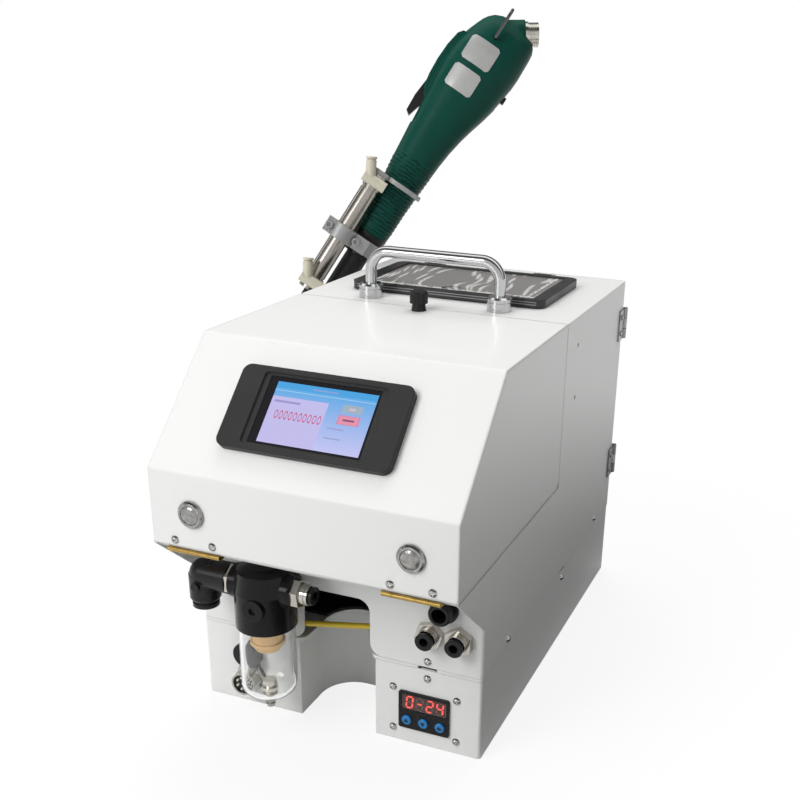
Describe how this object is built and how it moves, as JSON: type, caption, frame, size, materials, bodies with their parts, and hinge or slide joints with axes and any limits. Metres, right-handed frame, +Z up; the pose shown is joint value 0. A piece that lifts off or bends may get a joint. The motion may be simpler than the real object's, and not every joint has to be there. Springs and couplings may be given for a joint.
{
  "type": "automatic screw feeder",
  "caption": "Bench screw feeder: sheet-steel cabinet with tilting hood, touch panel, hopper lid, rear door, air filter and a hand-held driver parked in a side holder.",
  "frame": {"origin": "centre of the base tray on the floor", "axes": "+X to the right seen from the front, +Y to the rear, +Z up"},
  "size_m": [0.3008, 0.4511, 0.465],
  "materials": {
    "base_tray": "satin powder coat",
    "deck_plate": "satin powder coat",
    "deck_mat": "matt sheet",
    "upper_shell": "satin powder coat",
    "panel_screws": "zinc plated",
    "carry_handle": "satin stainless",
    "hood_shell": "satin powder coat",
    "hood_hinge_upper": "rolled brass",
    "hood_hinge_lower": "rolled brass",
    "hood_hinge_screws": "zinc plated",
    "hmi_bezel": "fine texture",
    "hmi_screen": "lit screen",
    "hood_knob": "moulded",
    "button_bezels": "nickel",
    "left_button": "turned",
    "right_button": "turned",
    "lid_panel": "smoked",
    "lid_rim": "moulded",
    "lid_hinges": "zinc plated",
    "meter_frame": "moulded",
    "meter_window": "tinted window",
    "meter_key_left": "moulded",
    "meter_key_middle": "moulded",
    "meter_key_right": "moulded",
    "bulkhead_bodies": "nickel plated brass",
    "bulkhead_collet_left": "moulded",
    "bulkhead_collet_right": "moulded",
    "outlet_fitting": "turned",
    "socket_shell": "nickel plated",
    "socket_insert": "moulded",
    "socket_cap": "moulded",
    "filter_head": "moulded",
    "filter_bowl": "clear polycarbonate",
    "filter_core": "sintered element",
    "drain_valve": "turned",
    "inlet_elbow": "moulded",
    "filter_ports": "nickel plated brass",
    "outlet_collet": "moulded",
    "cross_tube": "extruded",
    "tube_clips": "moulded",
    "rear_door": "satin powder coat",
    "door_hinges": "stainless",
    "mains_inlet": "moulded",
    "power_rocker": "moulded",
    "hopper_bin": "folded sheet",
    "lift_blade": "ground",
    "feed_rail": "milled",
    "shuttle": "ground",
    "driver_body": "moulded",
    "driver_collar": "moulded",
    "driver_lever": "moulded",
    "driver_switch": "moulded",
    "driver_bail": "bent wire",
    "driver_plug": "nickel plated",
    "driver_clamp": "anodised",
    "pen_cylinder": "drawn tube",
    "cylinder_fittings": "moulded",
    "driver_bit": "ground",
    "nozzle_sleeve": "turned",
    "driver_holder": "powder coat"
  },
  "bodies": {
    "cabinet": {"base_tray": "base_tray", "deck_plate": "deck_plate", "deck_mat": "deck_mat", "upper_shell": "upper_shell", "panel_screws": "panel_screws", "carry_handle": "carry_handle", "hood_hinge_lower": "hood_hinge_lower", "lid_hinges": "lid_hinges", "meter_frame": "meter_frame", "meter_window": "meter_window", "bulkhead_bodies": "bulkhead_bodies", "outlet_fitting": "outlet_fitting", "socket_shell": "socket_shell", "socket_insert": "socket_insert", "filter_head": "filter_head", "filter_bowl": "filter_bowl", "filter_core": "filter_core", "filter_ports": "filter_ports", "cross_tube": "cross_tube", "tube_clips": "tube_clips", "door_hinges": "door_hinges", "mains_inlet": "mains_inlet", "hopper_bin": "hopper_bin", "feed_rail": "feed_rail", "driver_holder": "driver_holder"},
    "hood": {"hood_shell": "hood_shell", "hood_hinge_upper": "hood_hinge_upper", "hood_hinge_screws": "hood_hinge_screws", "hmi_bezel": "hmi_bezel", "hmi_screen": "hmi_screen", "button_bezels": "button_bezels"},
    "knob": {"hood_knob": "hood_knob"},
    "button_left": {"left_button": "left_button"},
    "button_right": {"right_button": "right_button"},
    "lid": {"lid_panel": "lid_panel", "lid_rim": "lid_rim"},
    "door": {"rear_door": "rear_door"},
    "key_left": {"meter_key_left": "meter_key_left"},
    "key_middle": {"meter_key_middle": "meter_key_middle"},
    "key_right": {"meter_key_right": "meter_key_right"},
    "collet_left": {"bulkhead_collet_left": "bulkhead_collet_left"},
    "collet_right": {"bulkhead_collet_right": "bulkhead_collet_right"},
    "collet_filter": {"outlet_collet": "outlet_collet"},
    "drain": {"drain_valve": "drain_valve"},
    "elbow": {"inlet_elbow": "inlet_elbow"},
    "cap": {"socket_cap": "socket_cap"},
    "rocker": {"power_rocker": "power_rocker"},
    "blade": {"lift_blade": "lift_blade"},
    "shuttle_bar": {"shuttle": "shuttle"},
    "driver": {"driver_body": "driver_body", "driver_collar": "driver_collar", "driver_plug": "driver_plug", "driver_clamp": "driver_clamp", "pen_cylinder": "pen_cylinder", "cylinder_fittings": "cylinder_fittings"},
    "lever": {"driver_lever": "driver_lever"},
    "switch": {"driver_switch": "driver_switch"},
    "bail": {"driver_bail": "driver_bail"},
    "bit": {"driver_bit": "driver_bit"},
    "nozzle": {"nozzle_sleeve": "nozzle_sleeve"}
  },
  "joints": [
    {"name": "hood_tilt", "type": "hinge", "parent": "cabinet", "child": "hood", "pos_m": [0, -0.2049, 0.137], "axis": [1, 0, 0], "range_deg": [0, 90]},
    {"name": "knob_turn", "type": "hinge", "parent": "hood", "child": "knob", "pos_m": [-0.004, -0.016, 0.261], "axis": [0, 0, 1], "continuous": true},
    {"name": "left_button_press", "type": "slide", "parent": "hood", "child": "button_left", "axis": [0, 1, 0], "range_m": [0, 0.0022], "stiffness_N_per_m": 500},
    {"name": "right_button_press", "type": "slide", "parent": "hood", "child": "button_right", "axis": [0, 1, 0], "range_m": [0, 0.0022], "stiffness_N_per_m": 500},
    {"name": "lid_open", "type": "hinge", "parent": "cabinet", "child": "lid", "pos_m": [-0.002, 0.1236, 0.2644], "axis": [-1, 0, 0], "range_deg": [0, 95]},
    {"name": "door_swing", "type": "hinge", "parent": "cabinet", "child": "door", "pos_m": [0.1056, 0.1626, 0.16], "axis": [0, 0, -1], "range_deg": [0, 110]},
    {"name": "key_left_press", "type": "slide", "parent": "cabinet", "child": "key_left", "axis": [0, 1, 0], "range_m": [0, 0.0008], "stiffness_N_per_m": 800},
    {"name": "key_middle_press", "type": "slide", "parent": "cabinet", "child": "key_middle", "axis": [0, 1, 0], "range_m": [0, 0.0008], "stiffness_N_per_m": 800},
    {"name": "key_right_press", "type": "slide", "parent": "cabinet", "child": "key_right", "axis": [0, 1, 0], "range_m": [0, 0.0008], "stiffness_N_per_m": 800},
    {"name": "left_collet_release", "type": "slide", "parent": "cabinet", "child": "collet_left", "axis": [0, 1, 0], "range_m": [0, 0.001], "stiffness_N_per_m": 1500},
    {"name": "right_collet_release", "type": "slide", "parent": "cabinet", "child": "collet_right", "axis": [0, 1, 0], "range_m": [0, 0.001], "stiffness_N_per_m": 1500},
    {"name": "filter_collet_release", "type": "slide", "parent": "cabinet", "child": "collet_filter", "axis": [-1, 0, 0], "range_m": [0, 0.001], "stiffness_N_per_m": 1500},
    {"name": "drain_push", "type": "slide", "parent": "cabinet", "child": "drain", "axis": [0, 0, 1], "range_m": [0, 0.002]},
    {"name": "elbow_swivel", "type": "hinge", "parent": "cabinet", "child": "elbow", "pos_m": [-0.07, -0.1825, 0.111], "axis": [-1, 0, 0], "range_deg": [0, 80]},
    {"name": "cap_turn", "type": "hinge", "parent": "cabinet", "child": "cap", "pos_m": [-0.06805, -0.16, 0.022], "axis": [0, 1, 0], "range_deg": [-15, 15]},
    {"name": "rocker_tip", "type": "hinge", "parent": "cabinet", "child": "rocker", "pos_m": [0.03285, 0.155, 0.027], "axis": [0, 0, 1], "range_deg": [-6, 6]},
    {"name": "blade_lift", "type": "slide", "parent": "cabinet", "child": "blade", "axis": [0, 0, 1], "range_m": [0, 0.055]},
    {"name": "shuttle_feed", "type": "slide", "parent": "cabinet", "child": "shuttle_bar", "axis": [-1, 0, 0], "range_m": [0, 0.012]},
    {"name": "driver_lift_out", "type": "slide", "parent": "cabinet", "child": "driver", "axis": [0.4466, 0.3341, 0.83], "range_m": [0, 0.08]},
    {"name": "lever_press", "type": "hinge", "parent": "driver", "child": "lever", "pos_m": [-0.07471, 0.19027, 0.41971], "axis": [0.4204, -0.8972, 0.1349], "range_deg": [0, 4], "stiffness_Nm_per_rad": 0.6},
    {"name": "reverse_switch", "type": "slide", "parent": "driver", "child": "switch", "axis": [0.4466, 0.3341, 0.83], "range_m": [-0.003, 0.003]},
    {"name": "bail_swing", "type": "hinge", "parent": "driver", "child": "bail", "pos_m": [-0.0371, 0.21085, 0.43938], "axis": [-0.4204, 0.8972, -0.1349], "range_deg": [-70, 5]},
    {"name": "bit_spin", "type": "hinge", "parent": "driver", "child": "bit", "pos_m": [-0.12017, 0.14871, 0.285], "axis": [0.4466, 0.3341, 0.83], "continuous": true},
    {"name": "nozzle_stroke", "type": "slide", "parent": "driver", "child": "nozzle", "axis": [0.4466, 0.3341, 0.83], "range_m": [0, 0.016]}
  ]
}
